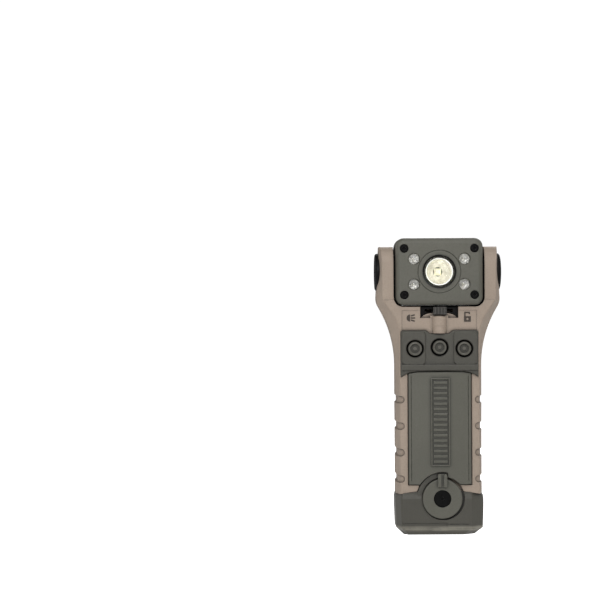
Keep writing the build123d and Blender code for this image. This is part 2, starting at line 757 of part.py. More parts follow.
with BuildPart() as head_bezel:
    with BuildSketch(facing(BEZEL_BACK_Y)):
        with Locations((0, PIVOT_Z)):
            RectangleRounded(HEAD_W, HEAD_H, HEAD_CORNER)
    extrude(amount=BEZEL_BACK_Y - HEAD_FRONT_Y)
    fillet(head_bezel.edges().group_by(Axis.Y)[0], 2.4)
    with BuildSketch(facing(0)):
        with Locations((0, PIVOT_Z)):
            Circle(RING_R + 0.02)
        with Locations(*SIGNALS):
            Circle(2.6)
        with Locations(*HEAD_SCREWS):
            Circle(1.05)
    extrude(amount=20, mode=Mode.SUBTRACT)
    with BuildSketch(facing(-13.0)):
        with Locations(*HEAD_SCREWS):
            Circle(2.1)
    extrude(amount=5, mode=Mode.SUBTRACT)
    with BuildSketch(facing(HEAD_FRONT_Y + 0.25)):
        with Locations((0, PIVOT_Z)):
            Circle(10.35)
            Circle(10.0, mode=Mode.SUBTRACT)
    extrude(amount=5, mode=Mode.SUBTRACT)
    mouths = head_bezel.edges().filter_by(GeomType.CIRCLE).filter_by(
        lambda e: e.center().Y < HEAD_FRONT_Y + 0.01 and abs(e.radius - 2.6) < 0.01
    )
    chamfer(mouths, 0.35)
    # Open inside behind a 3 mm face, with posts round the screws
    with BuildSketch(facing(BEZEL_BACK_Y)):
        with Locations((0, PIVOT_Z)):
            RectangleRounded(HEAD_W - 4.4, HEAD_H - 4.4, 1.4)
            Circle(9.4, mode=Mode.SUBTRACT)
        with Locations(*SIGNALS):
            Circle(3.4, mode=Mode.SUBTRACT)
        with Locations(*HEAD_SCREWS):
            Circle(2.7, mode=Mode.SUBTRACT)
    extrude(amount=2.6, mode=Mode.SUBTRACT)
save(head_bezel, "head_bezel")

with BuildPart() as head_screws:
    with BuildSketch(facing(-13.02)):
        with Locations(*HEAD_SCREWS):
            Circle(1.95)
    extrude(amount=1.3)
    fillet(head_screws.edges().group_by(Axis.Y)[0], 0.3)
    with BuildSketch(facing(-13.5)):
        with Locations(*HEAD_SCREWS):
            RegularPolygon(0.95, 6)
    extrude(amount=3, mode=Mode.SUBTRACT)
    with BuildSketch(facing(-13.02)):
        with Locations(*HEAD_SCREWS):
            Circle(0.98)
    extrude(amount=-9.5)
save(head_screws, "head_screws")

# ---------------------------------------------------------------- head shell and gasket
with BuildPart() as head_shell:
    with BuildSketch(across(-HEAD_W / 2)) as profile:
        with Locations((0, PIVOT_Z)):
            Circle(SHELL_R)
        with Locations((-SHELL_R / 2, PIVOT_Z)):
            Rectangle(SHELL_R, 2 * SHELL_R)
        with Locations((-30 + SHELL_FRONT_Y, PIVOT_Z)):
            Rectangle(60, 60, mode=Mode.SUBTRACT)
    extrude(amount=HEAD_W)
    ends = head_shell.edges().filter_by(
        lambda e: abs(abs(e.center().X) - HEAD_W / 2) < 0.01 and e.center().Y > SHELL_FRONT_Y + 0.1
    )
    fillet(ends, HEAD_CORNER)
    with BuildSketch(across(-19.15)):
        with Locations((0, PIVOT_Z)):
            Circle(13.8)
        with Locations((-8, PIVOT_Z)):
            Rectangle(16, 27.6)
    extrude(amount=38.3, mode=Mode.SUBTRACT)
    with BuildSketch(facing(SHELL_FRONT_Y)):
        with Locations(*HEAD_SCREWS):
            Circle(2.7)
            Circle(0.98, mode=Mode.SUBTRACT)
    extrude(amount=-6.4)
    with BuildSketch(across(-30)):
        with Locations((0, PIVOT_Z)):
            Circle(PIN_R + 0.02)
    extrude(amount=60, mode=Mode.SUBTRACT)
    # Cooling grooves round the back
    with BuildSketch(across(-15)) as groove_marks:
        with Locations((0, PIVOT_Z)):
            with PolarLocations(SHELL_R, 7, start_angle=-45, angular_range=90):
                Rectangle(1.6, 1.5)
    extrude(groove_marks.sketch, amount=30, mode=Mode.SUBTRACT)
save(head_shell, "head_shell")

with BuildPart() as head_gasket:
    with BuildSketch(facing(SHELL_FRONT_Y - 0.01)):
        with Locations((0, PIVOT_Z)):
            RectangleRounded(HEAD_W - 0.5, HEAD_H - 0.5, HEAD_CORNER - 0.2)
            RectangleRounded(HEAD_W - 4.4, HEAD_H - 4.4, 1.4, mode=Mode.SUBTRACT)
        with Locations(*HEAD_SCREWS):
            Circle(2.7)
            Circle(1.05, mode=Mode.SUBTRACT)
    extrude(amount=0.58)
save(head_gasket, "head_gasket")

# ---------------------------------------------------------------- lamp
with BuildPart() as lens_ring:
    with BuildSketch(Plane.YZ):
        with BuildLine():
            Polyline(
                (-9.1, RING_R), (-14.9, RING_R), (-15.3, RING_R - 0.4), (-15.3, RING_R - 0.7),
                (-14.0, LENS_R), (-13.4, LENS_R), (-13.4, 6.9), (-11.9, 6.9), (-11.9, 6.3),
                (-11.4, 6.3), (-11.4, 7.2), (-9.1, 7.2), (-9.1, RING_R),
            )
        make_face()
    revolve(axis=Axis.Y)
    lens_ring.part.locate(Location((0, 0, PIVOT_Z)))
save(lens_ring, "lens_ring")

with BuildPart() as lens:
    with BuildSketch(facing(-11.92)):
        with Locations((0, PIVOT_Z)):
            Circle(6.85)
    extrude(amount=1.4)
save(lens, "lens")

with BuildPart() as reflector:
    with BuildSketch(Plane.YZ):
        with BuildLine():
            Spline((-11.35, 6.2), (-7.6, 4.6), (-4.6, 2.2))
            Polyline((-4.6, 2.2), (-4.6, 3.3), (-7.9, 5.9), (-11.35, 7.1), (-11.35, 6.2))
        make_face()
    revolve(axis=Axis.Y)
    reflector.part.locate(Location((0, 0, PIVOT_Z)))
save(reflector, "reflector")

with BuildPart() as main_led:
    with BuildSketch(facing(-3.6)):
        with Locations((0, PIVOT_Z)):
            Rectangle(3.4, 3.4)
    extrude(amount=0.7)
    with BuildSketch(facing(-4.3)):
        with Locations((0, PIVOT_Z)):
            Circle(1.45)
    extrude(amount=1.2)
    fillet(main_led.edges().group_by(Axis.Y)[0], 1.1)
save(main_led, "main_led")

with BuildPart() as signal_leds:
    with BuildSketch(facing(-5.0)):
        with Locations(*SIGNALS):
            Circle(2.9)
    extrude(amount=1.0)
    with BuildSketch(facing(-5.0)):
        with Locations(*SIGNALS):
            Circle(2.5)
    extrude(amount=9.3)
    fillet(signal_leds.edges().group_by(Axis.Y)[0], 1.7)
    with BuildSketch(facing(-3.62)):
        with Locations(*[(x + dx, z) for x, z in SIGNALS for dx in (-1.27, 1.27)]):
            Rectangle(0.5, 0.5)
    extrude(amount=1.4)
save(signal_leds, "signal_leds")

with BuildPart() as led_board:
    with BuildSketch(facing(-3.58)):
        with Locations((0, PIVOT_Z)):
            Rectangle(32.5, 15.2)
            Rectangle(25.5, 26.5)
    extrude(amount=-1.2)
save(led_board, "led_board")

with BuildPart() as heat_sink:
    with BuildSketch(facing(-2.36)):
        with Locations((0, PIVOT_Z)):
            Rectangle(24, 20)
    extrude(amount=-3)
    with BuildSketch(facing(0.6)):
        with Locations((0, PIVOT_Z)):
            with GridLocations(3.4, 0, 7, 1):
                Rectangle(1.4, 17)
    extrude(amount=-7)
save(heat_sink, "heat_sink")

# ---------------------------------------------------------------- tail cap
cap_sections = []
for z, width, depth in (
    (0, 17.2, 10.3), (3.3, 20.7, CAP_Y - 0.1), (12.5, CAP_HALF, CAP_Y),
    (17.4, CAP_HALF, CAP_Y), (19.6, GRIP_HALF, 12.8), (22, GRIP_HALF, 12.7),
):
    with BuildSketch(Plane.XY.offset(z)) as section:
        Polygon(
            (-width, -8.2), (2.6 - width, -depth), (width - 5.8, -depth), (width, 3.6 - depth),
            (width, 6.2), (width - 2.0, depth), (2.0 - width, depth), (-width, 6.2),
            align=None,
        )
        fillet(section.vertices().filter_by(lambda v: abs(abs(v.X) - width) < 0.01), 2.2)
        fillet(section.vertices().filter_by(lambda v: abs(abs(v.Y) - depth) < 0.01), 1.0)
    cap_sections.append(section.sketch)

with BuildPart() as tail_cap:
    loft(cap_sections, ruled=True)
    extrude(offset(below_seam.sketch, -0.12, mode=Mode.PRIVATE), amount=40, mode=Mode.INTERSECT)
    # Recessed band along the lower front edge, a line beside it and a thumb ledge below it
    with BuildSketch(facing(-12.8)):
        with Locations((-7.6, 4.5)):
            Rectangle(22, 2.8)
        with Locations((8.6, 5.3)):
            Rectangle(10.2, 0.35)
    extrude(amount=5, mode=Mode.SUBTRACT)
    with BuildSketch(facing(-12.0)):
        with Locations((-0.2, 2.85)):
            Rectangle(7.2, 1.3)
    extrude(amount=1.35)
    with BuildSketch(facing(-12.0)):
        with Locations((-0.4, 2.9)):
            Rectangle(33, 0.6)
    extrude(amount=1.45)
    # Tongue that reaches up under the arch of the front insert
    with BuildSketch(facing(-10.65)):
        with Locations((LATCH_X, LATCH_Z)):
            Circle(ARCH_R - 0.4)
        with Locations((LATCH_X + 17.2, LATCH_Z)):
            Rectangle(30, 40, mode=Mode.SUBTRACT)
        with Locations((0, LATCH_Z - 19)):
            Rectangle(60, 40, mode=Mode.SUBTRACT)
    extrude(amount=2.25)
    # Socket for the spigot, and the well for the contacts
    with BuildSketch(Plane.XY.offset(13.4)):
        RectangleRounded(35.6, 19.6, 7.2)
    extrude(amount=20, mode=Mode.SUBTRACT)
    with BuildSketch(Plane.XY.offset(3.4)):
        with Locations((0, 0.4)):
            RectangleRounded(31.4, 16.4, 7.9)
    extrude(amount=12, mode=Mode.SUBTRACT)
    with BuildSketch(facing(-11.6)):
        with Locations((LATCH_WELL_X, LATCH_Z)):
            Circle(LATCH_WELL_R)
    extrude(amount=5, mode=Mode.SUBTRACT)
    with BuildSketch(facing(-10.8)):
        with Locations((LATCH_X, LATCH_Z)):
            Circle(3.6)
    extrude(amount=5, mode=Mode.SUBTRACT)
    with BuildSketch(facing(-9)):
        with Locations((LATCH_X, LATCH_Z)):
            Circle(2.45)
    extrude(amount=5, mode=Mode.SUBTRACT)
save(tail_cap, "tail_cap")

with BuildPart() as tail_seal:
    with BuildSketch(Plane.XY.offset(13.42)):
        RectangleRounded(35.2, 19.2, 7)
        with Locations((0, 0.4)):
            RectangleRounded(31.4, 16.4, 7.9, mode=Mode.SUBTRACT)
    extrude(amount=0.56)
save(tail_seal, "tail_seal")

with BuildPart() as contact_carrier:
    with BuildSketch(Plane.XY.offset(3.42)):
        with Locations((0, 0.4)):
            RectangleRounded(31.0, 16.0, 7.7)
    extrude(amount=4.5)
save(contact_carrier, "contact_carrier")

with BuildPart() as contact_plate:
    with BuildSketch(Plane.XY.offset(7.94)):
        with Locations((0, 0.4)):
            RectangleRounded(27, 11, 5)
    extrude(amount=0.45)
save(contact_plate, "contact_plate")

with BuildPart() as contact_springs:
    for side in (-1, 1):
        with BuildLine() as coil:
            Helix(pitch=1.55, height=6.2, radius=4.2, center=(CELL_X * side, CELL_Y, 8.95))
        with BuildSketch(Plane(origin=coil.line @ 0, z_dir=coil.line % 0)):
            Circle(0.35)
        sweep(path=coil.line, is_frenet=True)
save(contact_springs, "contact_springs")

# ---------------------------------------------------------------- tail latch
with BuildPart() as latch_disc:
    with BuildSketch(facing(-11.75)):
        with Locations((LATCH_X, LATCH_Z)):
            Circle(LATCH_R)
    extrude(amount=2.15)
    fillet(latch_disc.edges().group_by(Axis.Y)[0], 0.5)
    with BuildSketch(facing(-13.45)):
        with Locations((LATCH_X, LATCH_Z + 8.7)):
            Rectangle(4.3, 6.2)
    extrude(amount=0.95)
    with BuildSketch(facing(-13.9)):
        with Locations((LATCH_X - 1.4, LATCH_Z + 8.75), (LATCH_X + 1.4, LATCH_Z + 8.65)):
            RectangleRounded(1.5, 6.2, 0.6)
    extrude(amount=1.2)
    with BuildSketch(facing(-9.75)):
        with Locations((LATCH_X, LATCH_Z)):
            Circle(2.4)
    extrude(amount=3)
    with BuildSketch(facing(-9)):
        with Locations((LATCH_X, LATCH_Z)):
            Circle(1.0)
    extrude(amount=6, mode=Mode.SUBTRACT)
    with BuildSketch(facing(-12.7)):
        with Locations((LATCH_X, LATCH_Z)):
            Circle(4.15)
    extrude(amount=3, mode=Mode.SUBTRACT)
save(latch_disc, "latch_disc")

with BuildPart() as latch_bolt:
    with BuildSketch(facing(-12.72)):
        with Locations((LATCH_X, LATCH_Z)):
            Circle(4.05)
    extrude(amount=1.0)
    fillet(latch_bolt.edges().group_by(Axis.Y)[0], 0.4)
    with BuildSketch(facing(-13.3)):
        with Locations((LATCH_X, LATCH_Z)):
            RegularPolygon(0.9, 6)
    extrude(amount=3, mode=Mode.SUBTRACT)
    with BuildSketch(facing(-12.72)):
        with Locations((LATCH_X, LATCH_Z)):
            Circle(0.97)
    extrude(amount=-4.5)
save(latch_bolt, "latch_bolt")

with BuildPart() as latch_cam:
    with BuildSketch(facing(-8.1)):
        with Locations((LATCH_X, LATCH_Z)):
            Circle(3.4)
            Circle(1.0, mode=Mode.SUBTRACT)
    extrude(amount=1.62)
save(latch_cam, "latch_cam")

with BuildPart() as latch_oring:
    with BuildSketch(facing(-10.83)):
        with Locations((LATCH_X, LATCH_Z)):
            Circle(3.56)
            Circle(2.44, mode=Mode.SUBTRACT)
    extrude(amount=0.7)
save(latch_oring, "latch_oring")
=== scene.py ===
import json
import math

import bmesh
import bpy
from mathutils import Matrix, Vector


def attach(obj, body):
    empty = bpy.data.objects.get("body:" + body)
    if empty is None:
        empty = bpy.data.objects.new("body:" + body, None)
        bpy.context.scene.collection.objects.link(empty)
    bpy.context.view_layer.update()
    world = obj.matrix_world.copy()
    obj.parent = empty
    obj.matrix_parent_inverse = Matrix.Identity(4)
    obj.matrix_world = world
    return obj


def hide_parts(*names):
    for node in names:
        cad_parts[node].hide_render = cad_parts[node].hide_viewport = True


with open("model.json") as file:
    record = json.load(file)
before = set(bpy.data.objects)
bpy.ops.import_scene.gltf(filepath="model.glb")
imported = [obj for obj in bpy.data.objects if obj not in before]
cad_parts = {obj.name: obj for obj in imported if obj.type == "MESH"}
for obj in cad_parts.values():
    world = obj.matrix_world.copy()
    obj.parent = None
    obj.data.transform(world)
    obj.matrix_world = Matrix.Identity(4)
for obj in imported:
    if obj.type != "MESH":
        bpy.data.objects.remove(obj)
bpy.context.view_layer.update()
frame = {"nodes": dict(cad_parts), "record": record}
NODES = frame["nodes"]
MM = 0.001

# Places in the frame, in mm: +Z is up, and the lamp and the buttons look along -Y
LAMP_Z = 125.5
SIGNAL_X, SIGNAL_Z = 12.0, 6.05
LENS_CLEAR_R, LENS_FROSTED_R = 5.9, 6.2
FLOOR_Z = -32

# Heights on the tail, in mm, where its painted highlight band fades in, is full, starts to fade and
# ends
BASE_HIGHLIGHT_ZS = (1.4, 2.6, 3.8, 4.7)

# Most values of a noise texture lie between these two
NOISE_LOW, NOISE_HIGH = 0.3, 0.7


# ---------------------------------------------------------------- material helpers
class Maker:
    """Builds one node material, a socket at a time.

    Noise scales are in features per metre. Distances, radii and bump heights are in metres.
    """

    def __init__(self, name):
        self.material = bpy.data.materials.new(name)
        self.material.use_nodes = True
        self.tree = self.material.node_tree
        self.shader = self.tree.nodes["Principled BSDF"]
        self.place = self.node("ShaderNodeTexCoord").outputs["Object"]

    def node(self, kind, **settings):
        made = self.tree.nodes.new(kind)
        for key, value in settings.items():
            setattr(made, key, value)
        return made

    def wire(self, source, target):
        self.tree.links.new(source, target)

    def stretched(self, x, y, z):
        """Object coordinates scaled along each axis."""
        mapping = self.node("ShaderNodeMapping")
        mapping.inputs["Scale"].default_value = (x, y, z)
        self.wire(self.place, mapping.inputs["Vector"])
        return mapping.outputs["Vector"]

    def height(self):
        """Z of the object coordinates."""
        apart = self.node("ShaderNodeSeparateXYZ")
        self.wire(self.place, apart.inputs[0])
        return apart.outputs["Z"]

    def from_lamp_axis(self):
        """Distance from the line along Y through the middle of the main lamp."""
        apart = self.node("ShaderNodeSeparateXYZ")
        self.wire(self.place, apart.inputs[0])
        x = apart.outputs["X"]
        z = self.math("SUBTRACT", apart.outputs["Z"], LAMP_Z * MM)
        return self.math("SQRT", self.math("ADD", self.times(x, x), self.times(z, z)), 0)

    def noise(self, scale, detail=3, rough=0.55, where=None):
        made = self.node("ShaderNodeTexNoise")
        made.inputs["Scale"].default_value = scale
        made.inputs["Detail"].default_value = detail
        made.inputs["Roughness"].default_value = rough
        self.wire(where or self.place, made.inputs["Vector"])
        return made.outputs["Fac"]

    def cells(self, scale):
        made = self.node("ShaderNodeTexVoronoi", feature="F1")
        made.inputs["Scale"].default_value = scale
        self.wire(self.place, made.inputs["Vector"])
        return made.outputs["Distance"]

    def span(self, value, low, high, to_low, to_high):
        made = self.node("ShaderNodeMapRange", clamp=True)
        made.inputs["From Min"].default_value = low
        made.inputs["From Max"].default_value = high
        made.inputs["To Min"].default_value = to_low
        made.inputs["To Max"].default_value = to_high
        self.wire(value, made.inputs["Value"])
        return made.outputs["Result"]

    def math(self, operation, a, b):
        made = self.node("ShaderNodeMath", operation=operation)
        for index, item in enumerate((a, b)):
            if isinstance(item, (int, float)):
                made.inputs[index].default_value = item
            else:
                self.wire(item, made.inputs[index])
        return made.outputs[0]

    def times(self, a, b):
        return self.math("MULTIPLY", a, b)

    def uneven(self, noise, low, high):
        """Spread a noise over a range of values."""
        return self.span(noise, NOISE_LOW, NOISE_HIGH, low, high)

    def blend(self, amount, a, b):
        """Colour a where amount is 0, b where it is 1."""
        made = self.node("ShaderNodeMix", data_type="RGBA")
        self.wire(amount, made.inputs["Factor"])
        for index, item in ((6, a), (7, b)):
            if isinstance(item, tuple):
                made.inputs[index].default_value = (*item, 1)
            else:
                self.wire(item, made.inputs[index])
        return made.outputs[2]

    def edges(self, radius, low=0.02, high=0.25):
        """1 on sharp edges, 0 on flat faces."""
        bevel = self.node("ShaderNodeBevel", samples=6)
        bevel.inputs["Radius"].default_value = radius
        flat = self.node("ShaderNodeNewGeometry")
        dot = self.node("ShaderNodeVectorMath", operation="DOT_PRODUCT")
        self.wire(bevel.outputs["Normal"], dot.inputs[0])
        self.wire(flat.outputs["Normal"], dot.inputs[1])
        turned = self.math("SUBTRACT", 1.0, dot.outputs["Value"])
        return self.span(turned, low, high, 0, 1)

    def crevice(self, distance, low, high):
        """1 in narrow corners, 0 in the open."""
        made = self.node("ShaderNodeAmbientOcclusion", samples=6)
        made.inputs["Distance"].default_value = distance
        return self.span(made.outputs["AO"], low, high, 1, 0)

    def soften(self, radius):
        """Normal with its sharp edges rounded off."""
        made = self.node("ShaderNodeBevel", samples=6)
        made.inputs["Radius"].default_value = radius
        return made.outputs["Normal"]

    def bump(self, height, distance, strength, normal=None):
        made = self.node("ShaderNodeBump")
        made.inputs["Strength"].default_value = strength
        made.inputs["Distance"].default_value = distance
        self.wire(height, made.inputs["Height"])
        if normal is not None:
            self.wire(normal, made.inputs["Normal"])
        return made.outputs["Normal"]

    def set(self, **values):
        """Constants go straight onto the shader, sockets are wired to it."""
        names = {
            "colour": "Base Color", "rough": "Roughness", "metal": "Metallic", "normal": "Normal",
            "ior": "IOR", "coat": "Coat Weight", "coat_rough": "Coat Roughness",
            "clear": "Transmission Weight", "specular": "Specular IOR Level",
            "glow": "Emission Color", "glow_strength": "Emission Strength",
        }
        for key, value in values.items():
            socket = self.shader.inputs[names[key]]
            if isinstance(value, tuple):
                socket.default_value = (*value, 1)
            elif isinstance(value, (int, float)):
                socket.default_value = value
            else:
                self.wire(value, socket)
        return self.material


def shade(colour, factor):
    """The colour made darker or lighter."""
    return tuple(min(1.0, c * factor) for c in colour)


def moulded(name, colour, rough=0.55, grain=2600, depth=0.00003, wear_and_highlight=0.35,
            specular=0.4, base_highlight=0.0):
    """Moulded plastic: eroded grain, uneven tone, rubbed edges with a painted highlight, painted
    shade in the corners.

    The last argument pales a band just above the base, a painted highlight on the lip.
    """
    m = Maker(name)
    cloud = m.noise(38, 4)
    speck = m.noise(grain * 0.6, 2)
    tone = m.blend(m.uneven(cloud, 0, 1), shade(colour, 0.92), shade(colour, 1.07))
    tone = m.blend(m.span(speck, 0.42, 0.7, 0, 0.35), tone, shade(colour, 0.72))
    # Painted shade: corners, creases and gaps are darkened where shade falls.
    dust_and_shade = m.times(m.crevice(0.0018, 0.5, 0.97), 0.9)
    tone = m.blend(dust_and_shade, tone, shade(colour, 0.14))
    # Edges: their lower roughness is real rubbing, and their paler colour is a painted highlight.
    rubbed = m.times(m.edges(0.0005), m.span(m.noise(420, 5, 0.65), 0.35, 0.65, 0.15, 1))
    tone = m.blend(m.times(rubbed, wear_and_highlight), tone, shade(colour, 2.1))
    # Painted highlight: a pale band just above the base, where light catches the lip.
    if base_highlight:
        start, full, fade, end = (z * MM for z in BASE_HIGHLIGHT_ZS)
        height = m.height()
        band = m.times(m.span(height, start, full, 0.05, 1), m.span(height, fade, end, 1, 0))
        patches = m.span(m.noise(150, 4), 0.35, 0.6, 0.6, 1)
        tone = m.blend(m.times(m.times(band, patches), base_highlight), tone, shade(colour, 3.6))
    pits = m.math("ADD", m.noise(grain, 4, 0.6), m.times(m.cells(grain * 0.7), 0.5))
    scratches = m.noise(1, 5, 0.6, m.stretched(700, 700, 90))
    gloss = m.uneven(cloud, rough - 0.06, rough + 0.05)
    gloss = m.math("ADD", gloss, m.span(scratches, 0.5, 0.75, 0, 0.12))
    gloss = m.math("SUBTRACT", gloss, m.times(rubbed, 0.14))
    normal = m.bump(pits, depth, 0.7, m.soften(0.00035))
    return m.set(colour=tone, rough=gloss, normal=normal, specular=specular)


def rubbery(name, colour, rough=0.62, specular=0.35):
    """Soft rubber or ink: fine bumps, with painted shade in its hollows and a painted highlight on
    its edges.
    """
    m = Maker(name)
    tone = m.blend(m.uneven(m.noise(60, 4), 0, 1), shade(colour, 0.88), shade(colour, 1.12))
    # Painted shade in hollows and gaps.
    tone = m.blend(m.times(m.crevice(0.002, 0.4, 0.95), 0.85), tone, shade(colour, 0.22))
    # Painted highlight on the edges.
    tone = m.blend(m.times(m.edges(0.0004), 0.5), tone, shade(colour, 2.0))
    gloss = m.uneven(m.noise(300, 4), rough - 0.08, rough + 0.08)
    normal = m.bump(m.noise(1900, 4), 0.00002, 0.6, m.soften(0.0003))
    return m.set(colour=tone, rough=gloss, normal=normal, specular=specular)


def metallic(name, colour, rough=0.3, brushed=(900, 900, 60)):
    """Bare metal with a painted highlight on its edges.

    brushed holds the noise scale of each axis, so the brush lines run along the smallest.
    """
    m = Maker(name)
    lines = m.noise(1, 4, 0.6, m.stretched(*brushed))
    spots = m.noise(250, 4)
    tone = m.blend(m.span(spots, 0.35, 0.7, 0, 1), shade(colour, 0.85), shade(colour, 1.1))
    # Painted highlight on the edges.
    tone = m.blend(m.times(m.edges(0.0003), 0.3), tone, shade(colour, 1.8))
    gloss = m.uneven(lines, rough - 0.08, rough + 0.08)
    gloss = m.math("ADD", gloss, m.span(spots, 0.5, 0.8, 0, 0.1))
    normal = m.bump(lines, 0.000012, 0.5, m.soften(0.0002))
    return m.set(colour=tone, rough=gloss, metal=1.0, normal=normal)


def painted_black(name, colour=(0.0025, 0.0025, 0.0025), rough=0.5):
    """Black coated steel: bare metal shows at rubbed edges."""
    m = Maker(name)
    spots = m.noise(500, 4)
    rubbed = m.times(m.edges(0.0003, 0.05, 0.4), m.span(m.noise(900, 3), 0.45, 0.65, 0, 1))
    tone = m.blend(m.span(spots, 0.35, 0.7, 0, 1), colour, shade(colour, 1.9))
    tone = m.blend(m.times(rubbed, 0.6), tone, (0.28, 0.27, 0.26))
    gloss = m.uneven(spots, rough - 0.08, rough + 0.12)
    normal = m.bump(m.noise(2400, 3), 0.00001, 0.5, m.soften(0.0002))
    return m.set(colour=tone, rough=gloss, metal=m.times(rubbed, 0.8), normal=normal, specular=0.08)


# ---------------------------------------------------------------- materials
TAN = (0.315, 0.252, 0.2)
GREY = (0.094, 0.092, 0.074)
# Painted shade: the same grey plastic, darker where it faces away from the light
GREY_IN_SHADE = (0.06, 0.057, 0.046)
BLACK = (0.004, 0.004, 0.004)
GRIP_BLACK = (0.05, 0.047, 0.042)
SEAL_BLACK = (0.0025, 0.0025, 0.0025)

# Each key is a material slot of the record
MATERIALS = {
    "tan_housing": moulded("tan_nylon", TAN, 0.58, 2300, 0.00003, 0.35),
    "grey_panel": moulded("foliage_nylon", GREY, 0.5, 2900, 0.000026, 0.55),
    # Painted shade: the button panel and tail cap get a darker copy of the grey_panel plastic.
    "panel_grey": moulded("foliage_nylon_in_shade", GREY_IN_SHADE, 0.5, 2900, 0.000026, 0.7, base_highlight=0.9),
    "grey_button": rubbery("button_rubber", (0.092, 0.088, 0.073), 0.5),
    "black_plastic": moulded("black_nylon", BLACK, 0.5, 2600, 0.00002, 0.5, specular=0.12),
    "dark_grip": moulded("ribbed_slider", GRIP_BLACK, 0.5, 2600, 0.00002, 0.7),
    "black_screw": painted_black("black_oxide"),
    "print_ink": rubbery("pad_print", (0.05, 0.04, 0.033), 0.7),
    "seal_rubber": rubbery("seal_rubber", SEAL_BLACK, 0.75, specular=0.05),
    "board": moulded("solder_mask", (0.02, 0.13, 0.05), 0.32, 900, 0.000015, 0.2),
    "component": moulded("chip_package", (0.022, 0.022, 0.022), 0.5),
    "cell_wrap": moulded("cell_sleeve", (0.035, 0.037, 0.045), 0.25, 600, 0.00001, 0.2),
    "steel": metallic("plain_steel", (0.5, 0.49, 0.47), 0.32),
    "dark_steel": painted_black("coated_spring_steel", (0.02, 0.02, 0.019), 0.4),
    "contact_metal": metallic("nickel_plate", (0.62, 0.58, 0.5), 0.22),
    "pin_metal": metallic("ground_steel", (0.5, 0.5, 0.5), 0.2, (60, 900, 900)),
    "bushing_plastic": moulded("natural_acetal", (0.62, 0.6, 0.54), 0.4),
    "aluminium": metallic("cast_aluminium", (0.7, 0.7, 0.71), 0.4, (500, 500, 500)),
}


# ---------------------------------------------------------------- materials of the lamps
def mirror_cup():
    """Metallised reflector with a peened surface, dull patches and a faint painted glow."""
    m = Maker("mirror_cup")
    cloud = m.span(m.noise(420, 4, 0.7), 0.35, 0.62, 0, 1)
    tint = m.blend(cloud, (0.62, 0.6, 0.53), (0.98, 0.97, 0.93))
    flecks = m.span(m.cells(620), 0.0, 0.22, 1, 0)
    marks = m.times(flecks, m.span(m.noise(330, 3), 0.45, 0.55, 0, 1))
    tint = m.blend(marks, tint, (0.2, 0.18, 0.1))
    gloss = m.uneven(m.noise(500, 3), 0.12, 0.3)
    normal = m.bump(m.cells(700), 0.00012, 0.7)
    # Painted glow: the reflector shines faintly of its own.
    return m.set(colour=tint, rough=gloss, metal=0.35, normal=normal, glow=tint, glow_strength=0.16)


def black_ring():
    """Polished black ring with fine wiping marks and a painted highlight on its edges."""
    m = Maker("dark_chrome")
    tint = m.blend(m.uneven(m.noise(300, 3), 0, 1), (0.002, 0.002, 0.002), (0.005, 0.005, 0.005))
    # Painted highlight on the edges.
    tint = m.blend(m.times(m.edges(0.0002), 0.2), tint, (0.06, 0.06, 0.057))
    gloss = m.uneven(m.noise(700, 3), 0.08, 0.18)
    normal = m.bump(m.noise(1500, 2), 0.00001, 0.3)
    return m.set(colour=tint, rough=gloss, coat=0.3, coat_rough=0.08, specular=0.4, normal=normal)


def clear_window():
    """Moulded lens: clear in the middle, frosted at its rim, with a painted glow on the rim."""
    m = Maker("clear_window")
    rim = m.span(m.from_lamp_axis(), LENS_CLEAR_R * MM, LENS_FROSTED_R * MM, 0, 1)
    dust_and_shade = m.span(m.noise(900, 5), 0.45, 0.8, 0.02, 0.12)
    frost = m.math("ADD", dust_and_shade, m.times(rim, 0.4))
    clear = m.math("SUBTRACT", 1.0, m.times(rim, 0.85))
    tint = m.blend(m.uneven(m.noise(500, 3), 0, 1), (0.97, 0.96, 0.9), (1.0, 1.0, 0.97))
    normal = m.bump(m.noise(250, 2), 0.00001, 0.3)
    # Painted glow on the frosted rim.
    return m.set(colour=tint, rough=frost, clear=clear, ior=1.15, normal=normal,
                 glow=(1.0, 1.0, 0.96), glow_strength=m.times(rim, 0.3))


def phosphor():
    """Pale yellow square of the main LED under its clear coat, with a faint painted glow."""
    m = Maker("phosphor")
    tint = m.blend(m.uneven(m.noise(900, 3), 0, 1), (0.85, 0.8, 0.6), (1.0, 0.98, 0.86))
    gloss = m.uneven(m.noise(900, 3), 0.15, 0.35)
    normal = m.bump(m.noise(1500, 2), 0.00001, 0.4)
    # Painted glow in the chip's own colour.
    return m.set(colour=tint, rough=gloss, coat=0.6, normal=normal, glow=tint, glow_strength=0.3)


def clear_epoxy():
    """Clear dome of a signal LED with faint flow marks."""
    m = Maker("clear_epoxy")
    tint = m.blend(m.uneven(m.noise(400, 3), 0, 1), (0.95, 0.95, 0.94), (1.0, 1.0, 1.0))
    gloss = m.uneven(m.noise(500, 3), 0.01, 0.08)
    normal = m.bump(m.noise(600, 2), 0.00002, 0.4)
    return m.set(colour=tint, rough=gloss, clear=0.93, ior=1.42, normal=normal)


def bright_cup():
    """Silvered cup inside a signal LED, with a faint painted glow."""
    m = Maker("led_cup")
    cloud = m.span(m.noise(900, 3), 0.35, 0.65, 0, 1)
    tint = m.blend(cloud, (0.6, 0.6, 0.58), (0.95, 0.95, 0.93))
    gloss = m.uneven(m.noise(700, 3), 0.15, 0.35)
    normal = m.bump(m.cells(1600), 0.00003, 0.5)
    # Painted glow.
    return m.set(colour=tint, rough=gloss, metal=0.6, normal=normal, glow=tint, glow_strength=0.15)


